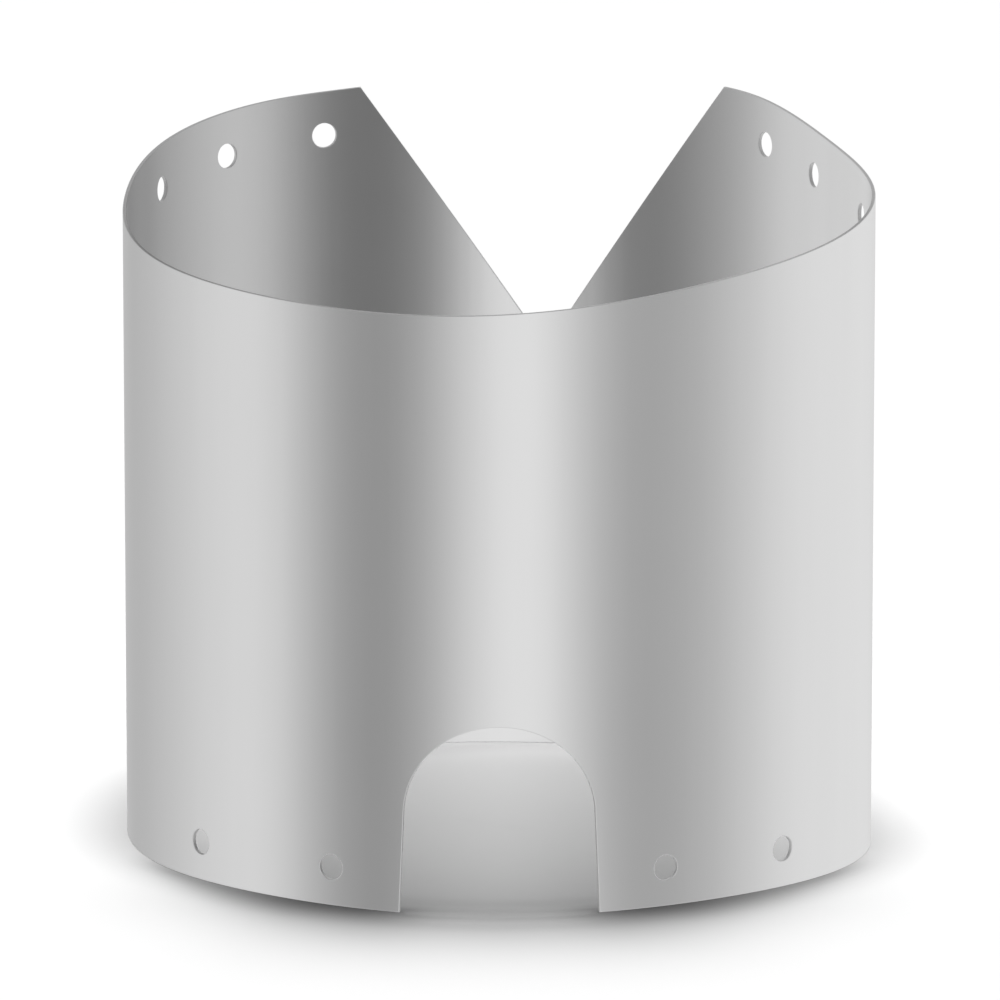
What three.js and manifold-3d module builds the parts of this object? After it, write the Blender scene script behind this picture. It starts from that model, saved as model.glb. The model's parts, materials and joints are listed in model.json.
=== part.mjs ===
import * as THREE from 'three';
import { mergeVertices } from 'three/addons/utils/BufferGeometryUtils.js';
import Module from 'manifold-3d';

// Stove windscreen: one springy metal sheet rolled into an upright ring, open at the top and bottom.
// The front has an arch in its lower edge, and the top edge slopes up towards the back. The two ends
// of the sheet lap at the back. Each has its upper corner cut off, so the cuts cross in a V notch.
// Two headed studs, riveted to the inner end, seat in slots that are open at the outer end's edge.
// The sheet bends at its two sides when the ends are pulled apart, so it is split there.
// Millimetres and degrees, +Z up, front towards -Y. Angles run round the ring from the front,
// towards +X. The origin is on the floor, in the middle of the outline.

// Sheet
const ringRadius = 74.5;
const sheetThickness = 0.8;
const bendGap = 0.3;
const bendAngle = 84;
const facetAngle = 3;

// Hand-rolled ring: slow waves of the radius, which fade out towards the lap
const ovalSwell = 2.0;
const ovalTurn = 37;
const squareSwell = 1.4;
const squareTurn = -33;
const pentagonSwell = 1.5;
const pentagonTurn = 3;
const waveFadeStart = 12;
const waveFadeEnd = 50;

// Top edge: a sloping plane, given at the ring's axis, with its rise per length to the right and back
const middleHeight = 129;
const riseToRight = 0.047;
const riseToBack = 0.148;

// Arch in the lower front edge
const archCentreX = 1.4;
const archFloorWidth = 38.5;
const archWidth = 36.8;
const archSideHeight = 19.5;
const archRise = 17.8;

// Vent holes
const ventDiameter = 5;
const lowerVentHeight = 7.6;
const lowerVentAngles = [-51, -25, 26.5, 47.5];
const upperVentDepth = 9;
const upperVentAngles = [-153, -136.5, -119.5, 90.5, 113, 131];
const ventSides = 24;

// Lap and V notch at the back
const lapAngle = 171.5;
const lapWidth = 20;
const lapGap = 0.3;
const lapRampStart = 11;
const lapRampEnd = 45;
const notchHeight = 83.4;
const leftCutLean = 34.8;
const rightCutLean = 32.6;

// Closure studs and their slots
const studDiameter = 3;
const studHeadDiameter = 6.4;
const studHeadThickness = 0.9;
const studHeadEdge = 0.35;
const studClearance = 0.3;
const studInset = 12;
const studSides = 24;
const domeSteps = 4;

// Cutters run this far past what they cut
const overrun = 5;

const finish = { color: 0xbdbdbd, roughness: 0.38, metalness: 1 };
const studFinish = { color: 0xb2b2b2, roughness: 0.3, metalness: 1 };

const radians = THREE.MathUtils.degToRad;
const wasm = await Module();
wasm.setup();

// Plan of the ring

function angleFromLap(angle) {
  return Math.abs(THREE.MathUtils.euclideanModulo(angle - lapAngle + 180, 360) - 180);
}

function planRadius(angle) {
  const waves = ovalSwell * Math.cos(radians(2 * (angle - ovalTurn)))
    + squareSwell * Math.cos(radians(4 * (angle - squareTurn)))
    + pentagonSwell * Math.cos(radians(5 * (angle - pentagonTurn)));
  const share = THREE.MathUtils.smootherstep(angleFromLap(angle), waveFadeStart, waveFadeEnd);
  return ringRadius + waves * share;
}

// layer is -1 for the inner end, 1 for the outer end and 0 for the front, which has no lap
function middleOfSheet(angle, layer) {
  const step = layer * (sheetThickness + lapGap) / 2;
  const share = 1 - THREE.MathUtils.smootherstep(angleFromLap(angle), lapRampStart, lapRampEnd);
  const radius = planRadius(angle) + step * share;
  return new THREE.Vector2(Math.sin(radians(angle)), -Math.cos(radians(angle))).multiplyScalar(radius);
}

function alongSheet(angle, layer) {
  const probe = facetAngle / 10;
  return middleOfSheet(angle + probe, layer).sub(middleOfSheet(angle - probe, layer)).normalize();
}

function faceOfSheet(angle, layer, outward) {
  const along = alongSheet(angle, layer);
  return middleOfSheet(angle, layer).add(new THREE.Vector2(along.y, -along.x).multiplyScalar(outward));
}

function angleOfArc(length) {
  return THREE.MathUtils.radToDeg(length / ringRadius);
}

function topHeight(point) {
  return middleHeight + riseToRight * point.x + riseToBack * point.y;
}

// Solids

function toSolid(geometry) {
  const bare = geometry.clone();
  bare.deleteAttribute('normal');
  bare.deleteAttribute('uv');
  const merged = mergeVertices(bare);
  const corners = merged.index.array;
  const kept = [];
  for (let i = 0; i < corners.length; i += 3) {
    const [a, b, c] = corners.slice(i, i + 3);
    if (a !== b && b !== c && c !== a) {
      kept.push(a, b, c);
    }
  }
  return new wasm.Manifold(new wasm.Mesh({
    numProp: 3,
    vertProperties: merged.attributes.position.array,
    triVerts: Uint32Array.from(kept),
  }));
}

function toMesh(name, solid, look) {
  const made = solid.getMesh();
  const geometry = new THREE.BufferGeometry();
  geometry.setAttribute('position', new THREE.Float32BufferAttribute(made.vertProperties, 3));
  geometry.setIndex(new THREE.Uint32BufferAttribute(made.triVerts, 1));
  geometry.computeVertexNormals();
  const mesh = new THREE.Mesh(geometry, new THREE.MeshStandardMaterial(look));
  mesh.name = name;
  return mesh;
}

function extrude(shape, depth) {
  const settings = { depth, bevelEnabled: false, curveSegments: ventSides };
  return new THREE.ExtrudeGeometry(shape, settings);
}

// A solid drawn with X along the sheet, Y up and Z outwards is set on the sheet's middle
function setOnSheet(geometry, angle, layer, height) {
  const place = middleOfSheet(angle, layer);
  geometry.rotateX(Math.PI / 2);
  geometry.rotateZ(alongSheet(angle, layer).angle());
  geometry.translate(place.x, place.y, height);
  return geometry;
}

// An outline drawn with X to the right and Y up is extruded from one depth to another
function extrudeBack(shape, frontY, backY) {
  const geometry = extrude(shape, backY - frontY);
  geometry.rotateX(Math.PI / 2);
  geometry.translate(0, backY, 0);
  return toSolid(geometry);
}

// Sheet between two angles, from the floor to its sloping top edge
function bentSheet(startAngle, endAngle, layer) {
  const steps = Math.ceil((endAngle - startAngle) / facetAngle);
  const outer = [];
  const inner = [];
  for (let i = 0; i <= steps; i += 1) {
    const angle = THREE.MathUtils.lerp(startAngle, endAngle, i / steps);
    outer.push(faceOfSheet(angle, layer, sheetThickness / 2));
    inner.unshift(faceOfSheet(angle, layer, -sheetThickness / 2));
  }
  const tall = topHeight({ x: ringRadius, y: ringRadius }) + overrun;
  const wall = toSolid(extrude(new THREE.Shape([...outer, ...inner]), tall));
  return wall.subtract(aboveTop());
}

// Block above the sloping top edge
function aboveTop() {
  const span = 4 * ringRadius;
  const block = new THREE.BoxGeometry(span, span, middleHeight);
  block.translate(0, 0, middleHeight / 2);
  const up = new THREE.Vector3(0, 0, 1);
  const slope = new THREE.Vector3(-riseToRight, -riseToBack, 1).normalize();
  block.applyQuaternion(new THREE.Quaternion().setFromUnitVectors(up, slope));
  block.translate(0, 0, middleHeight);
  return toSolid(block);
}

function archCutter() {
  const outline = new THREE.Shape();
  outline.moveTo(archCentreX - archFloorWidth / 2, -overrun);
  outline.lineTo(archCentreX - archFloorWidth / 2, 0);
  outline.lineTo(archCentreX - archWidth / 2, archSideHeight);
  outline.absellipse(archCentreX, archSideHeight, archWidth / 2, archRise, Math.PI, 0, true);
  outline.lineTo(archCentreX + archFloorWidth / 2, 0);
  outline.lineTo(archCentreX + archFloorWidth / 2, -overrun);
  return extrudeBack(outline, -2 * ringRadius, 0);
}

function ventCutter(angle, layer, height) {
  const outline = new THREE.Shape();
  outline.absarc(0, 0, ventDiameter / 2, 0, 2 * Math.PI);
  const cutter = extrude(outline, 2 * overrun);
  cutter.translate(0, 0, -overrun);
  return toSolid(setOnSheet(cutter, angle, layer, height));
}

function upperVentCutter(angle, layer) {
  return ventCutter(angle, layer, topHeight(middleOfSheet(angle, layer)) - upperVentDepth);
}

// Corner beyond a slanted line through the notch's lowest point: side is 1 for the part to the right
function cornerCutter(side, lean) {
  const apexX = middleOfSheet(lapAngle, 0).x;
  const tall = topHeight({ x: ringRadius, y: ringRadius }) + overrun;
  const slantX = (height) => apexX - side * (height - notchHeight) * Math.tan(radians(lean));
  const farX = slantX(0) + side * 2 * ringRadius;
  const outline = new THREE.Shape();
  outline.moveTo(slantX(0), 0);
  outline.lineTo(slantX(tall), tall);
  outline.lineTo(farX, tall);
  outline.lineTo(farX, 0);
  return extrudeBack(outline, 0, 2 * ringRadius);
}

// Where a closure stud stands: an inset from the floor, and the same from the outer end's upper corner
function studHeights() {
  const corner = notchHeight - lapWidth / 2 / Math.tan(radians(rightCutLean));
  return [studInset, corner - studInset];
}

function studHoleCutter(height) {
  const outline = new THREE.Shape();
  outline.absarc(0, 0, studDiameter / 2 + studClearance, 0, 2 * Math.PI);
  const cutter = extrude(outline, 2 * overrun);
  cutter.translate(0, 0, -overrun);
  return toSolid(setOnSheet(cutter, lapAngle, 0, height));
}

// Slot from the stud to past the outer end's edge
function slotCutter(height) {
  const half = studDiameter / 2 + studClearance;
  const outline = new THREE.Shape();
  outline.moveTo(0, half);
  outline.absarc(0, 0, half, Math.PI / 2, 3 * Math.PI / 2);
  outline.lineTo(lapWidth / 2 + overrun, -half);
  outline.lineTo(lapWidth / 2 + overrun, half);
  const cutter = extrude(outline, 2 * overrun);
  cutter.translate(0, 0, -overrun);
  return toSolid(setOnSheet(cutter, lapAngle, 0, height));
}

// Stud: a shank through both layers with a domed head on each side, as a revolve about Y
function stud(height) {
  const shank = studDiameter / 2;
  const head = studHeadDiameter / 2;
  const under = lapGap / 2 + sheetThickness + studClearance;
  const crown = studHeadThickness - studHeadEdge;
  const dome = [];
  for (let i = 0; i <= domeSteps; i += 1) {
    const turn = Math.PI / 2 * i / domeSteps;
    dome.push(new THREE.Vector2(head * Math.cos(turn), under + studHeadEdge + crown * Math.sin(turn)));
  }
  dome[domeSteps].x = 0;
  const outerHalf = [new THREE.Vector2(shank, under), new THREE.Vector2(head, under), ...dome];
  const innerHalf = outerHalf.map((point) => new THREE.Vector2(point.x, -point.y)).reverse();
  const body = new THREE.LatheGeometry([...innerHalf, ...outerHalf], studSides);
  body.rotateX(Math.PI / 2);
  return toSolid(setOnSheet(body, lapAngle, 0, height));
}

// Pieces

function cutAll(solid, cutters) {
  return cutters.reduce((left, cutter) => left.subtract(cutter), solid);
}

function frontWall() {
  const end = bendAngle - angleOfArc(bendGap / 2);
  const vents = lowerVentAngles.map((angle) => ventCutter(angle, 0, lowerVentHeight));
  return cutAll(bentSheet(-end, end, 0), [archCutter(), ...vents]);
}

function leftWing() {
  const lapEnd = lapAngle - angleOfArc(lapWidth / 2) - 360;
  const wall = bentSheet(lapEnd, -bendAngle - angleOfArc(bendGap / 2), -1);
  const vents = upperVentAngles.filter((angle) => angle < 0).map((angle) => upperVentCutter(angle, -1));
  return cutAll(wall, [cornerCutter(1, leftCutLean), ...vents, ...studHeights().map(studHoleCutter)]);
}

function rightWing() {
  const lapEnd = lapAngle + angleOfArc(lapWidth / 2);
  const wall = bentSheet(bendAngle + angleOfArc(bendGap / 2), lapEnd, 1);
  const vents = upperVentAngles.filter((angle) => angle > 0).map((angle) => upperVentCutter(angle, 1));
  return cutAll(wall, [cornerCutter(-1, rightCutLean), ...vents, ...studHeights().map(slotCutter)]);
}

const windscreen = new THREE.Group();
windscreen.add(toMesh('front_wall', frontWall(), finish));
windscreen.add(toMesh('left_wing', leftWing(), finish));
windscreen.add(toMesh('right_wing', rightWing(), finish));
const [lowStud, highStud] = studHeights().map(stud);
windscreen.add(toMesh('closure_stud_lower', lowStud, studFinish));
windscreen.add(toMesh('closure_stud_upper', highStud, studFinish));

const middle = new THREE.Box3().setFromObject(windscreen, true).getCenter(new THREE.Vector3());
windscreen.position.set(-middle.x, -middle.y, 0);

export default windscreen;
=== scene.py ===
"""Looks of a stove windscreen: a springy ring of satin metal sheet, lapped and studded at the back.

Lengths are in millimetres and angles in degrees. Meshes are made in metres, in the frame of the
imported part. Angles run round the ring from the front, -Y, towards +X. A place on the sheet is
(along, height): along is the angle times the length of one degree on the plain ring.
"""

import json
import math

import bpy
import numpy as np
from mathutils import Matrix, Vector, geometry


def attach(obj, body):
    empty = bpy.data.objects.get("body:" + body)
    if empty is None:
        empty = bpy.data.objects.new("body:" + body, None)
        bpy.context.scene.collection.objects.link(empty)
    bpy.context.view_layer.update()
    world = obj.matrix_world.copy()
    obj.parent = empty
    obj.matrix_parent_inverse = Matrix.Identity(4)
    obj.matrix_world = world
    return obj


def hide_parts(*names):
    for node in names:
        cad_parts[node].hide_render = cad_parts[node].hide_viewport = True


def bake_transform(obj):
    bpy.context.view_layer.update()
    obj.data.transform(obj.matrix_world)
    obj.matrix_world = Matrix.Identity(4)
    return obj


MM = 0.001
TINY = 1e-9

# Sheet, as in the part
RING_RADIUS = 74.5
SHEET_THICKNESS = 0.8
BEND_ANGLE = 84
OVAL_SWELL, OVAL_TURN = 2.0, 37
SQUARE_SWELL, SQUARE_TURN = 1.4, -33
PENTAGON_SWELL, PENTAGON_TURN = 1.5, 3
WAVE_FADE_START, WAVE_FADE_END = 12, 50
MIDDLE_HEIGHT = 129
RISE_TO_RIGHT, RISE_TO_BACK = 0.047, 0.148

# Arch and vents, as in the part
ARCH_CENTRE_X = 1.4
ARCH_FLOOR_WIDTH = 38.5
ARCH_WIDTH = 36.8
ARCH_SIDE_HEIGHT = 19.5
ARCH_RISE = 17.8
VENT_DIAMETER = 5
LOWER_VENT_HEIGHT = 7.6
LOWER_VENT_ANGLES = (-51, -25, 26.5, 47.5)
UPPER_VENT_DEPTH = 9
UPPER_VENT_ANGLES = (-153, -136.5, -119.5, 90.5, 113, 131)

# Lap, notch and studs, as in the part
LAP_ANGLE = 171.5
LAP_WIDTH = 20
LAP_GAP = 0.3
LAP_RAMP_START, LAP_RAMP_END = 11, 45
NOTCH_HEIGHT = 83.4
LEFT_CUT_LEAN, RIGHT_CUT_LEAN = 34.8, 32.6
BACK_HALF = 90
STUD_DIAMETER = 3
STUD_HEAD_DIAMETER = 6.4
STUD_HEAD_THICKNESS = 0.9
STUD_HEAD_EDGE = 0.35
STUD_UNDER_HEAD = 1.25
STUD_FILLET = 0.12
STUD_CLEARANCE = 0.3
STUD_INSET = 12

# Where the front skin ends and the two bending skins start
SEAM_ANGLE = 55

# Right side, where the inner face mirrors by its true plan, and how far from there by the plain ring
TRUE_SIDE_ANGLE, TRUE_SIDE_HALF, PLAIN_START = 94, 10, 20

# Fineness of the meshes. The grid keeps clear of the edges by a share of its step.
GRID_ALONG, GRID_UP = 1.3, 2.6
GRID_CLEARANCE_SHARE = 0.6
LEAST_STEP = 0.3
SLOPE_PROBE = 0.1
EDGE_SOFTNESS = 0.16
EDGE_STEPS = 3
STRAIGHT_COSINE = 0.999
SEAM_TOLERANCE = 1e-6
MERGE_DISTANCE = 1e-7
HOLE_SIDES = 48
ARCH_STEPS = 64
TABLE_STEPS = 4000
STUD_SIDES = 64
STUD_CROWN_STEPS, STUD_RIM_STEPS, STUD_FILLET_STEPS = 14, 9, 5

# Satin sheet: brightness and roughness, and how much its streaks and clouds change them
SHEET_COLOR, SHEET_COLOR_CHANGE = 0.8, 0.03
SHEET_ROUGHNESS, SHEET_ROUGHNESS_CHANGE = 0.3, 0.05
BROAD_STREAK, FINE_STREAK, STREAK_LENGTH = 7, 0.7, 160
CLOUD_SIZE = 24
STREAK_DEPTH = 0.004

# Its cut edges, and how far the facing sides in the lap are taken to the same finish: rubbed duller there,
# and darker as painted shade between the two ends
CUT_COLOR, CUT_ROUGHNESS = 0.64, 0.48
CUT_MARK_WIDTH, CUT_MARK_DEPTH = 0.5, 0.01
LAP_SHADE_AND_RUB_SHARE, LAP_SHADE_AND_RUB_FADE = 0.4, 1.5

# Turned studs: brightness and roughness, and how far apart and how deep their grooves are
STUD_COLOR, STUD_COLOR_CHANGE = 0.74, 0.06
STUD_ROUGHNESS, STUD_ROUGHNESS_CHANGE = 0.26, 0.08
STUD_GROOVE = 0.16
STUD_GROOVE_DEPTH = 0.003
STUD_CLOUD_SIZE = 2.5

# Camera: how far above the horizon it looks from, the point that it looks at, and its distance
CAMERA_ELEVATION = 11.64
CAMERA_AIM = (0.42, 0, 66.3)
CAMERA_DISTANCE = 2031
CAMERA_LENS = 367.9
SENSOR_WIDTH = 36

# Floor: a fine mesh round the ring's foot
FLOOR_SPOKES = 180
FLOOR_RING_STEP = 2
FLOOR_FINE_INSIDE, FLOOR_FINE_OUTSIDE, FLOOR_FAR = 68, 140, 5000
FLOOR_COLOR = 0.9

# Painted shade on the floor: the share of the floor's light that the ring takes away outside its foot,
# deepest and longest in front.
# A name with half in it is an angle from the front.
FRONT_SHADE, SIDE_SHADE = 0.92, 0.03
DEEP_SHADE_HALF, LAST_SHADE_HALF = 8, 74
LONG_SHADE_HALF, SHORT_SHADE_HALF = 16, 40
LONG_SHADE, SHORT_SHADE = 24, 19.5
SHADE_FALL = 1.3

# A close, darker painted shade at the two front corners, from angle to angle, narrower towards the sides
CLOSE_SHADE = 0.48
CLOSE_SHADE_START, CLOSE_SHADE_FULL, CLOSE_SHADE_FADE, CLOSE_SHADE_END = 14, 34, 54, 74
WIDE_CLOSE_SHADE, NARROW_CLOSE_SHADE = 12, 4
WIDE_CLOSE_HALF, NARROW_CLOSE_HALF = 20, 64

# The painted light out of the arch, and the painted shade inside the ring with the lighter places painted
# in it
ARCH_LIGHT, ARCH_LIGHT_WIDTH, ARCH_LIGHT_REACH = 0.35, 21, 42
INSIDE_SHADE, INSIDE_SHADE_FALL = 0.585, 0.0017
MIDDLE_LIGHT, MIDDLE_LIGHT_WIDTH = 0.1, 18
SIDE_LIGHT, SIDE_LIGHT_START, SIDE_LIGHT_END = 0.15, 38, 60
BACK_LIGHT, BACK_LIGHT_REACH = 0.5, 5
WALL_SHADE, WALL_SHADE_REACH = 0.04, 30
FRONT_DEPTH, BACK_DEPTH = 40, 40

# Painted light that makes up for the lamp's own shadow under the arch, and how softly the painted shade
# inside and outside join
UNDER_ARCH_LIGHT, UNDER_ARCH_GAP = 0.28, 4.5
WALL_BLEND, ARCH_BLEND = 2, 8

# Soft light from above, which only the floor takes
SKYLIGHT_SIZE = 14
SKYLIGHT_STRENGTH = 2.9
AMBIENT_STRENGTH = 0.2

# Brightness of the studio's walls by the direction from the ring, from the front towards +X
WALL_AZIMUTHS = (-180, -150, -120, -90, -75, -60, -45, -30, -15, 0, 15, 30, 45, 60, 75, 90, 150, 180)
WALL_SHARES = (
    0.68, 0.51, 0.63, 0.82, 0.93, 0.38, 0.25, 0.42, 0.69,
    0.95, 0.99, 0.67, 0.35, 0.42, 0.75, 0.89, 0.88, 0.68,
)
CEILING_SHARE = 0.4
CEILING_START, CEILING_END = 35, 55

# Brightness of the light card round the inside of the ring, by its place as seen from the middle
INNER_AZIMUTHS = (
    -180, -150, -120, -90, -75, -60, -45, -30, -15, 0, 15, 30, 45, 75, 90, 105, 120, 135, 150, 180
)
INNER_SHARES = (
    0.76, 0.75, 0.45, 0.22, 0.12, 0.12, 0.42, 0.95, 1.1, 1.1,
    0.42, 0.18, 0.12, 0.12, 0.2, 0.6, 0.86, 0.88, 0.76, 0.76,
)

# The same for the card's foot, which the back wall mirrors where it is seen through the arch
FOOT_AZIMUTHS = (-180, -120, -90, -60, -30, 30, 60, 90, 120, 180)
FOOT_SHARES = (0.76, 0.45, 0.22, 0.3, 1.08, 0.95, 0.3, 0.2, 0.86, 0.76)
CARD_FOOT_START, CARD_FOOT_END = -20, 30

# Share of the light that passes the card's front, where a mirrored view enters it
ENTRY_AZIMUTHS = (-180, -150, -114, -90, 0, 180)
ENTRY_SHARES = (1, 1, 0.45, 0.42, 1, 1)
INNER_CARD_GAP = 1.1
INNER_CARD_LOW, INNER_CARD_HIGH = -80, 260

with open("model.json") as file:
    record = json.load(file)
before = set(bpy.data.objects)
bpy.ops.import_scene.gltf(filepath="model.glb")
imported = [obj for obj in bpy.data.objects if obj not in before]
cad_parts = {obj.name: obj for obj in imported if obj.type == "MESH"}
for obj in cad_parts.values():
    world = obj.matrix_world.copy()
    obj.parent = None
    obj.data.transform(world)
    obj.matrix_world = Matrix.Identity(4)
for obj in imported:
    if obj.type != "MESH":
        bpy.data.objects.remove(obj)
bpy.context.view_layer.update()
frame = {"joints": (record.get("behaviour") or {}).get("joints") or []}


# Plan of the ring


def smootherstep(value, low, high):
    x = np.clip((value - low) / (high - low), 0, 1)
    return x * x * x * (x * (6 * x - 15) + 10)


def angle_between(first, second):
    return np.abs((first - second + 180) % 360 - 180)


def angle_from_lap(angle):
    return angle_between(angle, LAP_ANGLE)


def plan_radius(angle):
    waves = (
        OVAL_SWELL * np.cos(np.radians(2 * (angle - OVAL_TURN)))
        + SQUARE_SWELL * np.cos(np.radians(4 * (angle - SQUARE_TURN)))
        + PENTAGON_SWELL * np.cos(np.radians(5 * (angle - PENTAGON_TURN)))
    )
    share = smootherstep(angle_from_lap(angle), WAVE_FADE_START, WAVE_FADE_END)
    return RING_RADIUS + waves * share


def place_in_plan(angle, radius):
    turn = np.radians(angle)
    return np.stack([radius * np.sin(turn), -radius * np.cos(turn)], axis=-1)


def middle_of_sheet(angle, layer):
    """Middle of the sheet in plan. layer is -1 for the inner end, 1 for the outer end and 0 in front."""
    angle = np.asarray(angle, float)
    step = layer * (SHEET_THICKNESS + LAP_GAP) / 2
    share = 1 - smootherstep(angle_from_lap(angle), LAP_RAMP_START, LAP_RAMP_END)
    return place_in_plan(angle, plan_radius(angle) + step * share)


def slope_of_sheet(angle, layer):
    """How far the middle of the sheet moves in plan for each degree."""
    ahead = middle_of_sheet(angle + SLOPE_PROBE, layer)
    behind = middle_of_sheet(angle - SLOPE_PROBE, layer)
    return (ahead - behind) / (2 * SLOPE_PROBE)


def outward_of_sheet(angle, layer):
    slope = slope_of_sheet(angle, layer)
    along = slope / np.linalg.norm(slope, axis=-1, keepdims=True)
    return np.stack([along[..., 1], -along[..., 0]], axis=-1)


def top_height(point):
    return MIDDLE_HEIGHT + RISE_TO_RIGHT * point[..., 0] + RISE_TO_BACK * point[..., 1]


def shift_of_plan():
    """The part is moved so that its origin is in the middle of its outline, which a bend's place shows."""
    bend = next(j for j in frame["joints"] if j["name"] == "left_bend")
    return np.array(bend["pos_m"][:2]) / MM - middle_of_sheet(-BEND_ANGLE, 0)


PLAN_SHIFT = shift_of_plan()
MM_PER_DEGREE = RING_RADIUS * math.pi / 180


def along_at(angle):
    return angle * MM_PER_DEGREE


def angle_at(along):
    return along / MM_PER_DEGREE


def angle_where(values, target, low, high):
    """Angle from low to high where values, a rising function of the angle, reaches target."""
    angles = np.linspace(low, high, TABLE_STEPS)
    return np.interp(target, values(angles), angles)


# Outlines on the sheet: the material lies to the left of each loop's direction


def circle(angle, height, radius, layer):
    """A hole's loop, round on the bent sheet."""
    stretch = MM_PER_DEGREE / np.linalg.norm(slope_of_sheet(angle, layer))
    turn = np.linspace(0, -2 * math.pi, HOLE_SIDES, endpoint=False)
    return np.stack(
        [along_at(angle) + stretch * radius * np.cos(turn), height + radius * np.sin(turn)], axis=-1
    )


def line(start, end, step):
    """Points from start to just before end."""
    start, end = np.asarray(start, float), np.asarray(end, float)
    count = max(1, round(float(np.linalg.norm(end - start)) / step))
    return start + (end - start) * np.linspace(0, 1, count, endpoint=False)[:, None]


def arch_edge():
    """Edge of the arch from its left foot to its right foot."""
    turn = np.linspace(math.pi, 0, ARCH_STEPS)
    x = ARCH_CENTRE_X + ARCH_WIDTH / 2 * np.cos(turn)
    crown = np.stack([x, ARCH_SIDE_HEIGHT + ARCH_RISE * np.sin(turn)], axis=-1)
    left_foot = (ARCH_CENTRE_X - ARCH_FLOOR_WIDTH / 2, 0)
    right_foot = (ARCH_CENTRE_X + ARCH_FLOOR_WIDTH / 2, 0)
    left_side = line(left_foot, crown[0], GRID_ALONG)
    right_side = line(crown[-1], right_foot, GRID_ALONG)
    edge = np.concatenate([left_side, crown[:-1], right_side, [right_foot]])
    angle = angle_where(lambda a: middle_of_sheet(a, 0)[..., 0], edge[:, 0], -SEAM_ANGLE, SEAM_ANGLE)
    return np.stack([along_at(angle), edge[:, 1]], axis=-1)


def plane_top(angle, layer):
    return top_height(middle_of_sheet(angle, layer))


def cut_top(angle, layer):
    """Height of the slanted cut of the sheet's corner, which falls towards the lap."""
    apex_x = middle_of_sheet(LAP_ANGLE, 0)[0]
    lean = LEFT_CUT_LEAN if layer < 0 else RIGHT_CUT_LEAN
    x = middle_of_sheet(angle, layer)[..., 0]
    return NOTCH_HEIGHT + layer * (x - apex_x) / math.tan(math.radians(lean))


def top_edge(start, end, layer):
    """Top edge from the angle end back to the angle start, with the corner of the cut among its points."""

    def excess(angle):
        return layer * (plane_top(angle, layer) - cut_top(angle, layer))

    angles = np.linspace(start, end, round((end - start) * MM_PER_DEGREE / GRID_ALONG) + 1)
    height = plane_top(angles, layer)
    if layer:
        near = angles[angle_from_lap(angles) < BACK_HALF]
        corner = angle_where(excess, 0, near.min(), near.max())
        angles = np.sort(np.append(angles[np.abs(angles - corner) > LEAST_STEP], corner))
        height = plane_top(angles, layer)
        cut = np.minimum(height, cut_top(angles, layer))
        height = np.where(angle_from_lap(angles) < BACK_HALF, cut, height)
    return np.stack([along_at(angles), height], axis=-1)[::-1]


def stud_heights():
    corner = NOTCH_HEIGHT - LAP_WIDTH / 2 / math.tan(math.radians(RIGHT_CUT_LEAN))
    return STUD_INSET, corner - STUD_INSET


def slotted_end(angle, top):
    """Outer end's edge from the floor up, with a slot open to it for each stud."""
    half = STUD_DIAMETER / 2 + STUD_CLEARANCE
    edge, seat = along_at(angle), along_at(LAP_ANGLE)
    parts, low = [], 0
    for height in stud_heights():
        turn = np.linspace(-math.pi / 2, -3 * math.pi / 2, HOLE_SIDES // 2)
        bottom, roof = height - half, height + half
        parts.append(line((edge, low), (edge, bottom), GRID_ALONG))
        parts.append(line((edge, bottom), (seat, bottom), GRID_ALONG))
        parts.append(np.stack([seat + half * np.cos(turn), height + half * np.sin(turn)], axis=-1)[:-1])
        parts.append(line((seat, roof), (edge, roof), GRID_ALONG))
        low = roof
    parts.append(line((edge, low), (edge, top), GRID_ALONG))
    return np.concatenate(parts)


def front_loops():
    left, right = along_at(-SEAM_ANGLE), along_at(SEAM_ANGLE)
    arch = arch_edge()
    top = top_edge(-SEAM_ANGLE, SEAM_ANGLE, 0)
    outline = np.concatenate(
        [
            line((left, 0), arch[0], GRID_ALONG),
            arch[:-1],
            line(arch[-1], (right, 0), GRID_ALONG),
            line((right, 0), top[0], GRID_UP),
            top[:-1],
            line(top[-1], (left, 0), GRID_UP),
        ]
    )
    vents = [circle(a, LOWER_VENT_HEIGHT, VENT_DIAMETER / 2, 0) for a in LOWER_VENT_ANGLES]
    return [outline, *vents]


def upper_vents(layer):
    angles = [a for a in UPPER_VENT_ANGLES if a * layer > 0]
    return [
        circle(a, plane_top(a, layer) - UPPER_VENT_DEPTH, VENT_DIAMETER / 2, layer) for a in angles
    ]


def left_loops():
    start = LAP_ANGLE - LAP_WIDTH / 2 / MM_PER_DEGREE - 360
    top = top_edge(start, -SEAM_ANGLE, -1)
    end, seam = along_at(start), along_at(-SEAM_ANGLE)
    outline = np.concatenate(
        [
            line((end, 0), (seam, 0), GRID_ALONG),
            line((seam, 0), top[0], GRID_UP),
            top[:-1],
            line(top[-1], (end, 0), GRID_UP),
        ]
    )
    radius = STUD_DIAMETER / 2 + STUD_CLEARANCE
    holes = [circle(LAP_ANGLE - 360, height, radius, -1) for height in stud_heights()]
    return [outline, *upper_vents(-1), *holes]


def right_loops():
    end = LAP_ANGLE + LAP_WIDTH / 2 / MM_PER_DEGREE
    top = top_edge(SEAM_ANGLE, end, 1)
    seam = along_at(SEAM_ANGLE)
    outline = np.concatenate(
        [
            line((seam, 0), (along_at(end), 0), GRID_ALONG),
            slotted_end(end, top[0][1]),
            top[:-1],
            line(top[-1], (seam, 0), GRID_UP),
        ]
    )
    return [outline, *upper_vents(1)]


# Skins: a loop's softened edge joins the outer and the inner face


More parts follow.
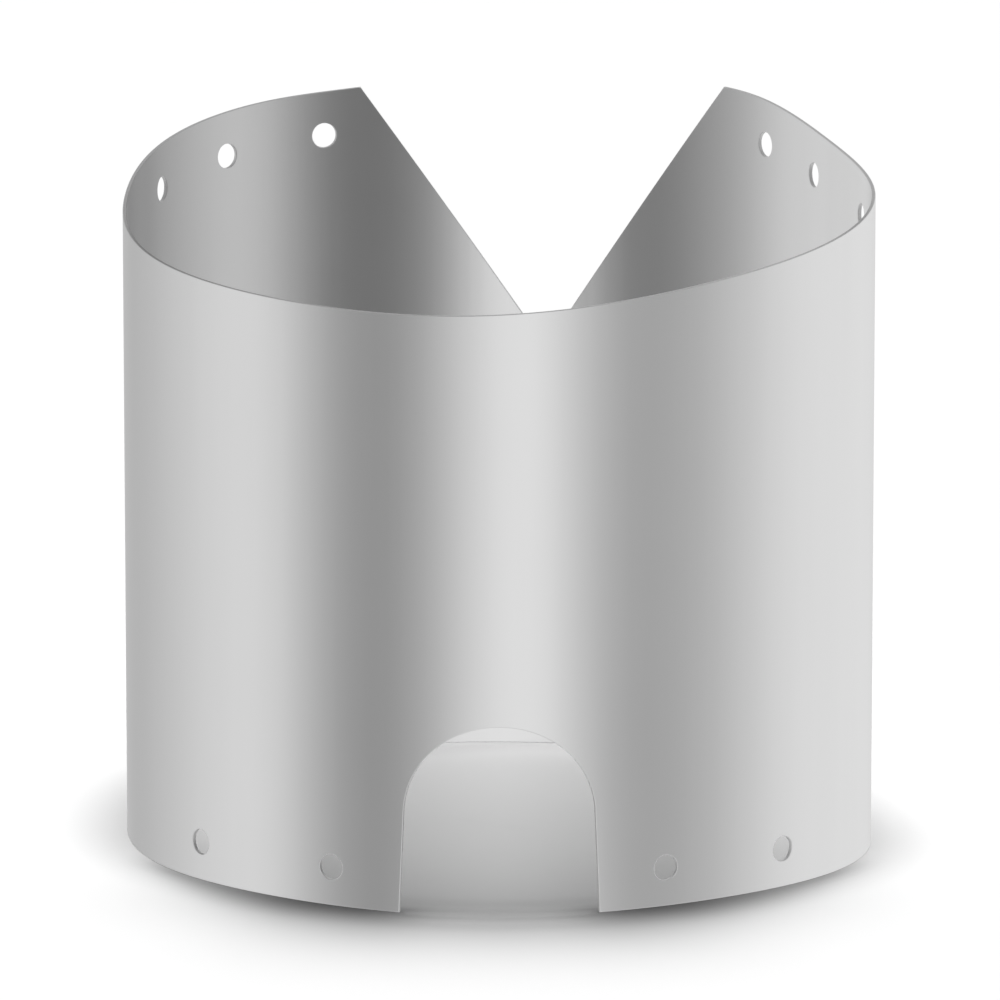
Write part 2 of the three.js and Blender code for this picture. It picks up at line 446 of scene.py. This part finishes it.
def inset_directions(loop, seams):
    """For each corner of a loop, how it moves for the loop to shrink into the material by 1. The edges
    that lie on a seam stay."""
    edges = np.roll(loop, -1, axis=0) - loop
    normals = np.stack([-edges[:, 1], edges[:, 0]], axis=-1)
    normals /= np.linalg.norm(normals, axis=1, keepdims=True)
    on_seam = np.zeros(len(loop), bool)
    for seam in seams:
        at_seam = np.abs(loop[:, 0] - seam) < SEAM_TOLERANCE
        on_seam |= at_seam & np.roll(at_seam, -1)
    reach = np.where(on_seam, 0.0, 1.0)
    before, reach_before = np.roll(normals, 1, axis=0), np.roll(reach, 1)
    moves = []
    for n1, r1, n2, r2 in zip(before, reach_before, normals, reach):
        if abs(n1 @ n2) < STRAIGHT_COSINE:
            moves.append(np.linalg.solve(np.array([n1, n2]), np.array([r1, r2])))
        else:
            moves.append(n2 * (r1 + r2) / 2)
    return np.array(moves)


def is_inside(points, loops):
    """Even-odd test of points against loops."""
    inside = np.zeros(len(points), bool)
    for loop in loops:
        for start, end in zip(loop, np.roll(loop, -1, axis=0)):
            spans = (start[1] > points[:, 1]) != (end[1] > points[:, 1])
            if start[1] != end[1]:
                share = (points[:, 1] - start[1]) / (end[1] - start[1])
                inside ^= spans & (points[:, 0] < start[0] + share * (end[0] - start[0]))
    return inside


def grid_inside(loops):
    """Grid points in the material, clear of its edges."""
    corners = np.concatenate(loops)
    low, high = corners.min(axis=0), corners.max(axis=0)
    across = np.arange(low[0] + GRID_ALONG, high[0], GRID_ALONG)
    up = np.arange(low[1] + GRID_UP, high[1], GRID_UP)
    points = np.stack(np.meshgrid(across, up), axis=-1).reshape(-1, 2)
    points = points[is_inside(points, loops)]
    gap = np.array([np.min(np.linalg.norm(corners - point, axis=1)) for point in points])
    return points[gap > GRID_ALONG * GRID_CLEARANCE_SHARE]


def triangulate(loops):
    """Triangles of the face between the loops, as (points, triangles, place of each loop's corners)."""
    corners = np.concatenate(loops)
    points = np.concatenate([corners, grid_inside(loops)])
    edges, first = [], 0
    for loop in loops:
        count = len(loop)
        edges += [(first + i, first + (i + 1) % count) for i in range(count)]
        first += count
    vectors = [Vector(point) for point in points]
    made, _, faces, origins, _, _ = geometry.delaunay_2d_cdt(vectors, edges, [], 0, MERGE_DISTANCE)
    made = np.array([tuple(v) for v in made])
    place = {old: new for new, olds in enumerate(origins) for old in olds}
    triangles = np.array(faces)
    kept = triangles[is_inside(made[triangles].mean(axis=1), loops)]
    return made, kept, [place[i] for i in range(len(corners))]


def bend(places, outward, layer):
    """Places on the sheet, each so far out of its middle, as points in metres in the part's frame."""
    angle = angle_at(places[:, 0])
    plan = middle_of_sheet(angle, layer) + outward_of_sheet(angle, layer) * np.reshape(outward, (-1, 1))
    return np.column_stack([plan + PLAN_SHIFT, places[:, 1]]) * MM


def bend_direction(places, along, up, outward, layer):
    """A direction given on the flat sheet, turned as the sheet is there. On the inner side the plain
    ring's direction is taken, apart from the right side, which evens the mirrored pattern."""
    angle = angle_at(places[:, 0])
    true, plain = outward_of_sheet(angle, layer), place_in_plan(angle, 1)
    from_side = angle_between(angle, TRUE_SIDE_ANGLE)
    plain_share = (np.asarray(outward) < 0) * smootherstep(from_side, TRUE_SIDE_HALF, PLAIN_START)
    out = true + (plain - true) * np.reshape(plain_share, (-1, 1))
    flat = np.column_stack([-out[:, 1], out[:, 0]]) * np.reshape(along, (-1, 1))
    turned = np.column_stack([flat + out * np.reshape(outward, (-1, 1)), np.reshape(up, (-1, 1))])
    return turned / np.linalg.norm(turned, axis=1, keepdims=True)


def edge_profile():
    """Steps across the softened edge, from the outer face to the inner: how far inside the edge, how
    far out of the sheet's middle, and the slant of the surface from the edge's direction to the
    sheet's."""
    half = SHEET_THICKNESS / 2
    turns = [math.pi / 2 * (1 - i / EDGE_STEPS) for i in range(EDGE_STEPS + 1)]
    outer = [
        (EDGE_SOFTNESS * (1 - math.cos(t)), half - EDGE_SOFTNESS * (1 - math.sin(t)), t) for t in turns
    ]
    return outer + [(inset, -out, -t) for inset, out, t in reversed(outer)]


def faces_between(first, second, count):
    """Faces from one closed ring of points to another, each given by the number of its first point."""
    return [
        (first + i, second + i, second + (i + 1) % count, first + (i + 1) % count) for i in range(count)
    ]


def make_object(name, data):
    made = bpy.data.objects.new(name, data)
    bpy.context.scene.collection.objects.link(made)
    return made


def set_attribute(mesh, name, values):
    """A number for each point of a mesh."""
    attribute = mesh.attributes.new(name, "FLOAT", "POINT")
    attribute.data.foreach_set("value", np.asarray(values, np.float32))


def make_smooth(name, points, faces, normals, material):
    mesh = bpy.data.meshes.new(name)
    mesh.from_pydata(points.tolist(), [], faces)
    mesh.polygons.foreach_set("use_smooth", [True] * len(mesh.polygons))
    mesh.materials.append(material)
    mesh.normals_split_custom_set_from_vertices(normals.tolist())
    return make_object(name, mesh)


def lap_shade_and_rub(places):
    """How far the facing sides of the two ends in the lap are taken towards the cut finish: rubbed duller,
    and darker as painted shade between them.
    """
    from_lap = MM_PER_DEGREE * angle_from_lap(angle_at(places[:, 0]))
    edge = LAP_WIDTH / 2
    return LAP_SHADE_AND_RUB_SHARE * smootherstep(-from_lap, -edge, LAP_SHADE_AND_RUB_FADE - edge)


def edge_faces(loops, rings):
    """Faces along the loops between each ring of points and the next."""
    faces, first = [], 0
    for loop in loops:
        count = len(loop)
        for i in range(count):
            a, b = first + i, first + (i + 1) % count
            for upper, lower in zip(rings, rings[1:]):
                faces.append((upper[a], lower[a], lower[b], upper[b]))
        first += count
    return faces


def make_skin(name, layer, loops, seam_angles, material):
    """One closed piece of the sheet, flat outlines bent to the ring, with softened edges."""
    seams = [along_at(angle) for angle in seam_angles]
    moves = [inset_directions(loop, seams) for loop in loops]
    face_loops = [loop + move * EDGE_SOFTNESS for loop, move in zip(loops, moves)]
    flat, triangles, corners = triangulate(face_loops)
    half = SHEET_THICKNESS / 2
    count = len(flat)
    points = [bend(flat, half, layer), bend(flat, -half, layer)]
    zeros, ones = np.zeros(count), np.ones(count)
    normals = [bend_direction(flat, zeros, zeros, side * ones, layer) for side in (1, -1)]
    places = [flat, flat]
    # The facing sides in the lap get part of the cut finish: painted shade between the ends, and a rubbed
    # finish
    cut_and_lap_shade = [lap_shade_and_rub(flat) if side == -layer else zeros for side in (1, -1)]
    faces = [tuple(t) for t in triangles.tolist()]
    faces += [(a + count, c + count, b + count) for a, b, c in triangles.tolist()]
    rings = [corners]
    total = 2 * count
    edge, move = np.concatenate(loops), np.concatenate(moves)
    length = np.maximum(np.linalg.norm(move, axis=1, keepdims=True), TINY)
    away = -move / length
    for inset, out, slant in edge_profile()[1:-1]:
        ring = edge + move * inset
        along, up = (math.cos(slant) * away).T
        points.append(bend(ring, out, layer))
        normals.append(bend_direction(ring, along, up, math.sin(slant) + TINY, layer))
        places.append(ring)
        cut_and_lap_shade.append(np.full(len(ring), 1 - abs(math.sin(slant))))
        rings.append(list(range(total, total + len(ring))))
        total += len(ring)
    rings.append([i + count for i in corners])
    faces += edge_faces(loops, rings)
    skin = make_smooth(name, np.concatenate(points), faces, np.concatenate(normals), material)
    along, height = np.concatenate(places).T
    set_attribute(skin.data, "along", along)
    set_attribute(skin.data, "height", height)
    set_attribute(skin.data, "cut", np.concatenate(cut_and_lap_shade))
    return skin


# Studs: a section turned round the sheet's normal in the lap


def stud_profile():
    """Half of the stud's section, from the middle of its outer head to the middle of its inner one, as
    (distance from the axis, distance out of the lap)."""
    half_edge = STUD_HEAD_EDGE / 2
    reach = STUD_HEAD_DIAMETER / 2 - half_edge
    rise = STUD_HEAD_THICKNESS - STUD_HEAD_EDGE
    crown = [
        (share * reach, STUD_UNDER_HEAD + STUD_HEAD_EDGE + rise * (1 - share * share))
        for share in np.linspace(0, 1, STUD_CROWN_STEPS)
    ]
    rim = [
        (reach + half_edge * math.cos(turn), STUD_UNDER_HEAD + half_edge + half_edge * math.sin(turn))
        for turn in np.linspace(math.pi / 2, -math.pi / 2, STUD_RIM_STEPS)[1:]
    ]
    neck = STUD_DIAMETER / 2 + STUD_FILLET
    fillet = [
        (neck + STUD_FILLET * math.cos(turn), STUD_UNDER_HEAD + STUD_FILLET * (math.sin(turn) - 1))
        for turn in np.linspace(math.pi / 2, math.pi, STUD_FILLET_STEPS)
    ]
    outer = crown + rim + fillet
    return np.array(outer + [(reach, -out) for reach, out in reversed(outer)])


def make_stud(name, height, material):
    profile = stud_profile()
    steps = np.gradient(profile, axis=0)
    slants = np.column_stack([-steps[:, 1], steps[:, 0]])
    slants[[0, -1], 0] = 0
    out = np.append(outward_of_sheet(LAP_ANGLE, 0), 0)
    side, up = np.array([-out[1], out[0], 0]), np.array([0, 0, 1])
    centre = np.append(middle_of_sheet(LAP_ANGLE, 0) + PLAN_SHIFT, height)
    turn = np.linspace(0, 2 * math.pi, STUD_SIDES, endpoint=False)[:, None]
    spokes = np.cos(turn) * side + np.sin(turn) * up
    points, normals, reaches = [], [], []
    for (reach, step), (away, forward) in zip(profile[1:-1], slants[1:-1]):
        points.append(centre + step * out + reach * spokes)
        normals.append(forward * out + away * spokes)
        reaches += [reach] * STUD_SIDES
    for end in (0, -1):
        points.append([centre + profile[end, 1] * out])
        normals.append([slants[end, 1] * out])
        reaches.append(0)
    points = np.concatenate(points) * MM
    normals = np.concatenate(normals)
    normals /= np.linalg.norm(normals, axis=1, keepdims=True)
    outer_pole, inner_pole = len(points) - 2, len(points) - 1
    last = outer_pole - STUD_SIDES
    faces = []
    for i in range(STUD_SIDES):
        j = (i + 1) % STUD_SIDES
        faces.append((outer_pole, i, j))
        faces.append((inner_pole, last + j, last + i))
    for first in range(0, last, STUD_SIDES):
        faces += faces_between(first, first + STUD_SIDES, STUD_SIDES)
    stud = make_smooth(name, points, faces, normals, material)
    set_attribute(stud.data, "reach", reaches)
    return stud


# Nodes


def math_node(nodes, links, operation, first, second=None):
    """A Math node whose inputs are numbers or other nodes' outputs. Returns its output."""
    node = nodes.new("ShaderNodeMath")
    node.operation = operation
    for socket, value in zip(node.inputs, (first, second)):
        if isinstance(value, (int, float)):
            socket.default_value = value
        elif value is not None:
            links.new(value, socket)
    return node.outputs["Value"]


def smooth_share(nodes, links, value, low, high):
    node = nodes.new("ShaderNodeMapRange")
    node.interpolation_type = "SMOOTHSTEP"
    node.inputs["From Min"].default_value = low
    node.inputs["From Max"].default_value = high
    links.new(value, node.inputs["Value"])
    return node.outputs["Result"]


def read_attribute(nodes, name):
    node = nodes.new("ShaderNodeAttribute")
    node.attribute_name = name
    return node.outputs["Fac"]


def combine(nodes, links, *values):
    node = nodes.new("ShaderNodeCombineXYZ")
    for socket, value in zip(node.inputs, values):
        links.new(value, socket)
    return node.outputs["Vector"]


def noise(nodes, links, place, size):
    """Soft random values round a half. size is in the units of place."""
    node = nodes.new("ShaderNodeTexNoise")
    node.inputs["Scale"].default_value = 1 / size
    links.new(place, node.inputs["Vector"])
    return node.outputs["Fac"]


def between(nodes, links, share, low, high):
    """A number from low to high, which may be outputs, by a share."""
    node = nodes.new("ShaderNodeMix")
    links.new(share, node.inputs["Factor"])
    for label, value in (("A", low), ("B", high)):
        if isinstance(value, (int, float)):
            node.inputs[label].default_value = value
        else:
            links.new(value, node.inputs[label])
    return node.outputs["Result"]


def bump(nodes, links, height, depth_mm):
    node = nodes.new("ShaderNodeBump")
    node.inputs["Distance"].default_value = depth_mm * MM
    links.new(height, node.inputs["Height"])
    return node.outputs["Normal"]


# Materials


def new_material(name):
    material = bpy.data.materials.new(name)
    material.use_nodes = True
    nodes = material.node_tree.nodes
    return material, nodes, material.node_tree.links, nodes["Principled BSDF"]


def show_mix(nodes, links, old_shader, share, first, second):
    """Puts a mix of two shaders in the place of the material's own shader."""
    nodes.remove(old_shader)
    mix = nodes.new("ShaderNodeMixShader")
    links.new(share, mix.inputs["Fac"])
    links.new(first, mix.inputs[1])
    links.new(second, mix.inputs[2])
    links.new(mix.outputs["Shader"], nodes["Material Output"].inputs["Surface"])


def changed_by(nodes, links, value, change, share):
    """A number that a share from 0 to 1 moves by change in all, round its middle value."""
    return between(nodes, links, share, value - change / 2, value + change / 2)


def satin_sheet():
    """Rolled metal sheet: faint upright streaks and clouds on its faces, dull, scored cut edges, and
    painted shade with a rubbed finish on the facing sides in the lap.
    """
    material, nodes, links, shader = new_material("satin_sheet")
    along, height = read_attribute(nodes, "along"), read_attribute(nodes, "height")
    place = combine(nodes, links, along, height)
    drawn = math_node(nodes, links, "MULTIPLY", height, 1 / STREAK_LENGTH)
    streaks = []
    for width in (BROAD_STREAK, FINE_STREAK):
        across = math_node(nodes, links, "MULTIPLY", along, 1 / width)
        streaks.append(noise(nodes, links, combine(nodes, links, across, drawn), 1))
    broad, fine = streaks
    cloud = noise(nodes, links, place, CLOUD_SIZE)
    both = math_node(nodes, links, "ADD", fine, cloud)
    mean = math_node(nodes, links, "MULTIPLY", both, 1 / 2)
    # The cut attribute also carries the painted shade and rub on the facing sides in the lap
    cut = read_attribute(nodes, "cut")
    face_brightness = changed_by(nodes, links, SHEET_COLOR, SHEET_COLOR_CHANGE, broad)
    face_roughness = changed_by(nodes, links, SHEET_ROUGHNESS, SHEET_ROUGHNESS_CHANGE, mean)
    brightness = between(nodes, links, cut, face_brightness, CUT_COLOR)
    roughness = between(nodes, links, cut, face_roughness, CUT_ROUGHNESS)
    marks = noise(nodes, links, place, CUT_MARK_WIDTH)
    deep_marks = math_node(nodes, links, "MULTIPLY", marks, CUT_MARK_DEPTH / STREAK_DEPTH)
    relief = between(nodes, links, cut, fine, deep_marks)
    shader.inputs["Metallic"].default_value = 1
    links.new(combine(nodes, links, brightness, brightness, brightness), shader.inputs["Base Color"])
    links.new(roughness, shader.inputs["Roughness"])
    links.new(bump(nodes, links, relief, STREAK_DEPTH), shader.inputs["Normal"])
    return material


def turned_stud():
    """Bright turned metal with fine grooves round its middle, slightly rubbed."""
    material, nodes, links, shader = new_material("turned_stud")
    reach = read_attribute(nodes, "reach")
    turn = math_node(nodes, links, "MULTIPLY", reach, 2 * math.pi / STUD_GROOVE)
    groove = math_node(nodes, links, "SINE", turn)
    place = nodes.new("ShaderNodeTexCoord").outputs["Object"]
    cloud = noise(nodes, links, place, STUD_CLOUD_SIZE * MM)
    brightness = changed_by(nodes, links, STUD_COLOR, STUD_COLOR_CHANGE, cloud)
    roughness = changed_by(nodes, links, STUD_ROUGHNESS, STUD_ROUGHNESS_CHANGE, cloud)
    shader.inputs["Metallic"].default_value = 1
    links.new(combine(nodes, links, brightness, brightness, brightness), shader.inputs["Base Color"])
    links.new(roughness, shader.inputs["Roughness"])
    links.new(bump(nodes, links, groove, STUD_GROOVE_DEPTH), shader.inputs["Normal"])
    return material


def floor_material():
    """Pale floor, darkened by the painted shade in its shade attribute. Reflections show the studio's
    walls instead.
    """
    material, nodes, links, shader = new_material("pale_floor")
    color = nodes.new("ShaderNodeMix")
    color.data_type = "RGBA"
    color.inputs["A"].default_value = (FLOOR_COLOR, FLOOR_COLOR, FLOOR_COLOR, 1)
    color.inputs["B"].default_value = (0, 0, 0, 1)
    links.new(read_attribute(nodes, "shade"), color.inputs["Factor"])
    plain = nodes.new("ShaderNodeBsdfDiffuse")
    links.new(color.outputs["Result"], plain.inputs["Color"])
    clear = nodes.new("ShaderNodeBsdfTransparent")
    rays = nodes.new("ShaderNodeLightPath")
    glossy = rays.outputs["Is Glossy Ray"]
    show_mix(nodes, links, shader, glossy, plain.outputs["BSDF"], clear.outputs["BSDF"])
    return material


# Studio


def floor_shade(angle, gap):
    """Painted shadow of the ring on the floor, with painted lighter places: the share of the floor's light
    that it takes away, at a gap outside its foot, or inside where the gap is below 0."""
    place = place_in_plan(angle, plan_radius(angle) + gap)
    across, deep = place[..., 0] - ARCH_CENTRE_X, place[..., 1]
    from_front = angle_between(angle, 0)
    depth_share = smootherstep(-from_front, -LAST_SHADE_HALF, -DEEP_SHADE_HALF)
    depth = SIDE_SHADE + (FRONT_SHADE - SIDE_SHADE) * depth_share
    reach_share = smootherstep(-from_front, -SHORT_SHADE_HALF, -LONG_SHADE_HALF)
    reach = SHORT_SHADE + (LONG_SHADE - SHORT_SHADE) * reach_share
    outer_gap, inner_gap = np.maximum(gap, 0), np.minimum(gap, 0)
    in_front, at_back = smootherstep(-deep, 0, FRONT_DEPTH), smootherstep(deep, 0, BACK_DEPTH)
    in_arch = np.exp(-((across / ARCH_LIGHT_WIDTH) ** 4)) * in_front
    arch_light = ARCH_LIGHT * in_arch * np.exp(-outer_gap / ARCH_LIGHT_REACH)
    broad = depth * (1 - arch_light) * np.exp(-((outer_gap / reach) ** SHADE_FALL))
    close_depth = CLOSE_SHADE * smootherstep(from_front, CLOSE_SHADE_START, CLOSE_SHADE_FULL)
    close_depth *= 1 - smootherstep(from_front, CLOSE_SHADE_FADE, CLOSE_SHADE_END)
    narrow_share = smootherstep(from_front, WIDE_CLOSE_HALF, NARROW_CLOSE_HALF)
    close_reach = WIDE_CLOSE_SHADE + (NARROW_CLOSE_SHADE - WIDE_CLOSE_SHADE) * narrow_share
    close = close_depth * np.exp(-((outer_gap / close_reach) ** 2))
    outside = 1 - (1 - broad) * (1 - close)
    # Painted lighter places in the painted shade inside the ring
    middle_light = MIDDLE_LIGHT * np.exp(-((across / MIDDLE_LIGHT_WIDTH) ** 2))
    side_light = SIDE_LIGHT * smootherstep(np.abs(across), SIDE_LIGHT_START, SIDE_LIGHT_END)
    back_light = BACK_LIGHT * np.exp(inner_gap / BACK_LIGHT_REACH) * at_back
    wall_shade = WALL_SHADE * np.exp(-((inner_gap / WALL_SHADE_REACH) ** 2)) * in_front
    light = middle_light + side_light + back_light
    inside = INSIDE_SHADE - INSIDE_SHADE_FALL * deep + wall_shade - light
    blend_width = WALL_BLEND + (ARCH_BLEND - WALL_BLEND) * in_arch
    shade = inside + (outside - inside) * smootherstep(gap / blend_width, -1, 0)
    # Painted light that makes up for the lamp's shadow of the sheet above the arch
    lamp_gap = (gap / UNDER_ARCH_GAP) ** 2
    painted_lamp_fill = UNDER_ARCH_LIGHT * in_arch * lamp_gap * np.exp(1 - lamp_gap)
    return np.clip(1 - (1 - shade) * (1 + painted_lamp_fill), 0, 1)


def make_floor():
    """Rings of points that follow the ring's foot, and one far out."""
    angles = np.linspace(0, 360, FLOOR_SPOKES, endpoint=False)
    fine_gaps = np.arange(-FLOOR_FINE_INSIDE, FLOOR_FINE_OUTSIDE, FLOOR_RING_STEP)
    gaps = np.append(fine_gaps, FLOOR_FAR)
    plans = [PLAN_SHIFT[None]]
    shades = [floor_shade(0, -RING_RADIUS)]
    for gap in gaps:
        plans.append(place_in_plan(angles, plan_radius(angles) + gap) + PLAN_SHIFT)
        shades += list(floor_shade(angles, gap))
    points = [(x * MM, y * MM, 0) for x, y in np.concatenate(plans)]
    count = FLOOR_SPOKES
    faces = [(0, 1 + i, 1 + (i + 1) % count) for i in range(count)]
    for ring in range(len(gaps) - 1):
        first = 1 + ring * count
        faces += faces_between(first, first + count, count)
    mesh = bpy.data.meshes.new("floor")
    mesh.from_pydata(points, [], faces)
    set_attribute(mesh, "shade", shades)
    mesh.materials.append(floor_material())
    make_object("floor", mesh)


def level_by_azimuth(nodes, links, split, azimuths, shares):
    """Brightness from a list by the azimuth of the split vector, from -Y towards +X. The list goes from
    -180 to 180 degrees."""
    behind = math_node(nodes, links, "MULTIPLY", split.outputs["Y"], -1)
    azimuth = math_node(nodes, links, "ARCTAN2", split.outputs["X"], behind)
    share = nodes.new("ShaderNodeMapRange")
    share.inputs["From Min"].default_value = -math.pi
    share.inputs["From Max"].default_value = math.pi
    links.new(azimuth, share.inputs["Value"])
    ramp = nodes.new("ShaderNodeValToRGB")
    ramp.color_ramp.interpolation = "LINEAR"
    elements = ramp.color_ramp.elements
    for degrees in azimuths[1:-1]:
        elements.new((degrees + 180) / 360)
    for element, level in zip(elements, shares):
        element.color = (level, level, level, 1)
    links.new(share.outputs["Result"], ramp.inputs["Fac"])
    return ramp.outputs["Color"]


def inner_card_material():
    """Glows on its back, and is clear from its front."""
    material, nodes, links, shader = new_material("inner_card")
    place = nodes.new("ShaderNodeNewGeometry")
    split = nodes.new("ShaderNodeSeparateXYZ")
    links.new(place.outputs["Position"], split.inputs["Vector"])
    glow = nodes.new("ShaderNodeEmission")
    foot = level_by_azimuth(nodes, links, split, FOOT_AZIMUTHS, FOOT_SHARES)
    level = level_by_azimuth(nodes, links, split, INNER_AZIMUTHS, INNER_SHARES)
    start, end = CARD_FOOT_START * MM, CARD_FOOT_END * MM
    above_foot = smooth_share(nodes, links, split.outputs["Z"], start, end)
    links.new(between(nodes, links, above_foot, foot, level), glow.inputs["Strength"])
    clear = nodes.new("ShaderNodeBsdfTransparent")
    entry = level_by_azimuth(nodes, links, split, ENTRY_AZIMUTHS, ENTRY_SHARES)
    links.new(entry, clear.inputs["Color"])
    back = place.outputs["Backfacing"]
    show_mix(nodes, links, shader, back, clear.outputs["BSDF"], glow.outputs["Emission"])
    return material


def make_inner_card():
    """Soft light card round the inside of the ring, which only the metal's inner face mirrors, from
    across the ring."""
    angles = np.linspace(0, 360, FLOOR_SPOKES, endpoint=False)
    plan = place_in_plan(angles, plan_radius(angles) - INNER_CARD_GAP) + PLAN_SHIFT
    points = [(x * MM, y * MM, z * MM) for z in (INNER_CARD_LOW, INNER_CARD_HIGH) for x, y in plan]
    mesh = bpy.data.meshes.new("inner_card")
    mesh.from_pydata(points, [], faces_between(FLOOR_SPOKES, 0, FLOOR_SPOKES))
    mesh.materials.append(inner_card_material())
    card = make_object("inner_card", mesh)
    for rays in ("camera", "diffuse", "transmission", "volume_scatter", "shadow"):
        setattr(card, "visible_" + rays, False)


def make_world():
    """White to the camera, an even light on the floor, and lit walls in the metal's reflections."""
    world = bpy.data.worlds.new("studio")
    bpy.context.scene.world = world
    world.use_nodes = True
    nodes, links = world.node_tree.nodes, world.node_tree.links
    place = nodes.new("ShaderNodeTexCoord")
    split = nodes.new("ShaderNodeSeparateXYZ")
    links.new(place.outputs["Generated"], split.inputs["Vector"])
    wall_level = level_by_azimuth(nodes, links, split, WALL_AZIMUTHS, WALL_SHARES)
    rays = nodes.new("ShaderNodeLightPath")
    start, end = (math.sin(math.radians(a)) for a in (CEILING_START, CEILING_END))
    overhead = smooth_share(nodes, links, split.outputs["Z"], start, end)
    below = math_node(nodes, links, "SUBTRACT", 1, overhead)
    walls = math_node(nodes, links, "MULTIPLY", wall_level, below)
    ceiling = math_node(nodes, links, "MULTIPLY", overhead, CEILING_SHARE)
    seen = math_node(nodes, links, "ADD", walls, ceiling)
    reflected = math_node(nodes, links, "MULTIPLY", seen, rays.outputs["Is Glossy Ray"])
    on_floor = math_node(nodes, links, "MULTIPLY", rays.outputs["Is Diffuse Ray"], AMBIENT_STRENGTH)
    light = math_node(nodes, links, "ADD", reflected, on_floor)
    total = math_node(nodes, links, "ADD", light, rays.outputs["Is Camera Ray"])
    nodes["Background"].inputs["Color"].default_value = (1, 1, 1, 1)
    links.new(total, nodes["Background"].inputs["Strength"])


def make_skylight():
    """Broad soft lamp straight above, which mirrors don't show."""
    lamp = bpy.data.lights.new("skylight", "SUN")
    lamp.angle = math.radians(SKYLIGHT_SIZE)
    lamp.energy = SKYLIGHT_STRENGTH
    made = make_object("skylight", lamp)
    made.location = (0, 0, 1)
    made.visible_glossy = False


def make_camera():
    camera = bpy.data.cameras.new("camera")
    camera.lens = CAMERA_LENS
    camera.sensor_width = SENSOR_WIDTH
    made = make_object("camera", camera)
    rise = math.radians(CAMERA_ELEVATION)
    back = Vector((0, -math.cos(rise), math.sin(rise)))
    made.location = (Vector(CAMERA_AIM) + back * CAMERA_DISTANCE) * MM
    made.rotation_euler = (math.pi / 2 - rise, 0, 0)
    bpy.context.scene.camera = made


make_camera()
make_floor()
make_inner_card()
make_world()
make_skylight()
bpy.context.scene.view_settings.view_transform = "Standard"

sheet = satin_sheet()
front = make_skin("front_skin", 0, front_loops(), (-SEAM_ANGLE, SEAM_ANGLE), sheet)
left = make_skin("left_skin", -1, left_loops(), (-SEAM_ANGLE,), sheet)
right = make_skin("right_skin", 1, right_loops(), (SEAM_ANGLE,), sheet)
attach(front, "front")
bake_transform(left)
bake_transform(right)
for skin, node in ((front, "front_wall"), (left, "left_wing"), (right, "right_wing")):
    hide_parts(node)
    skin.visible_glossy = False

turned = turned_stud()
for place, height in zip(("lower", "upper"), stud_heights()):
    stud = make_stud("stud_" + place, height, turned)
    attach(stud, "left")
    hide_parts("closure_stud_" + place)
    stud.visible_glossy = False
    stud.visible_shadow = False
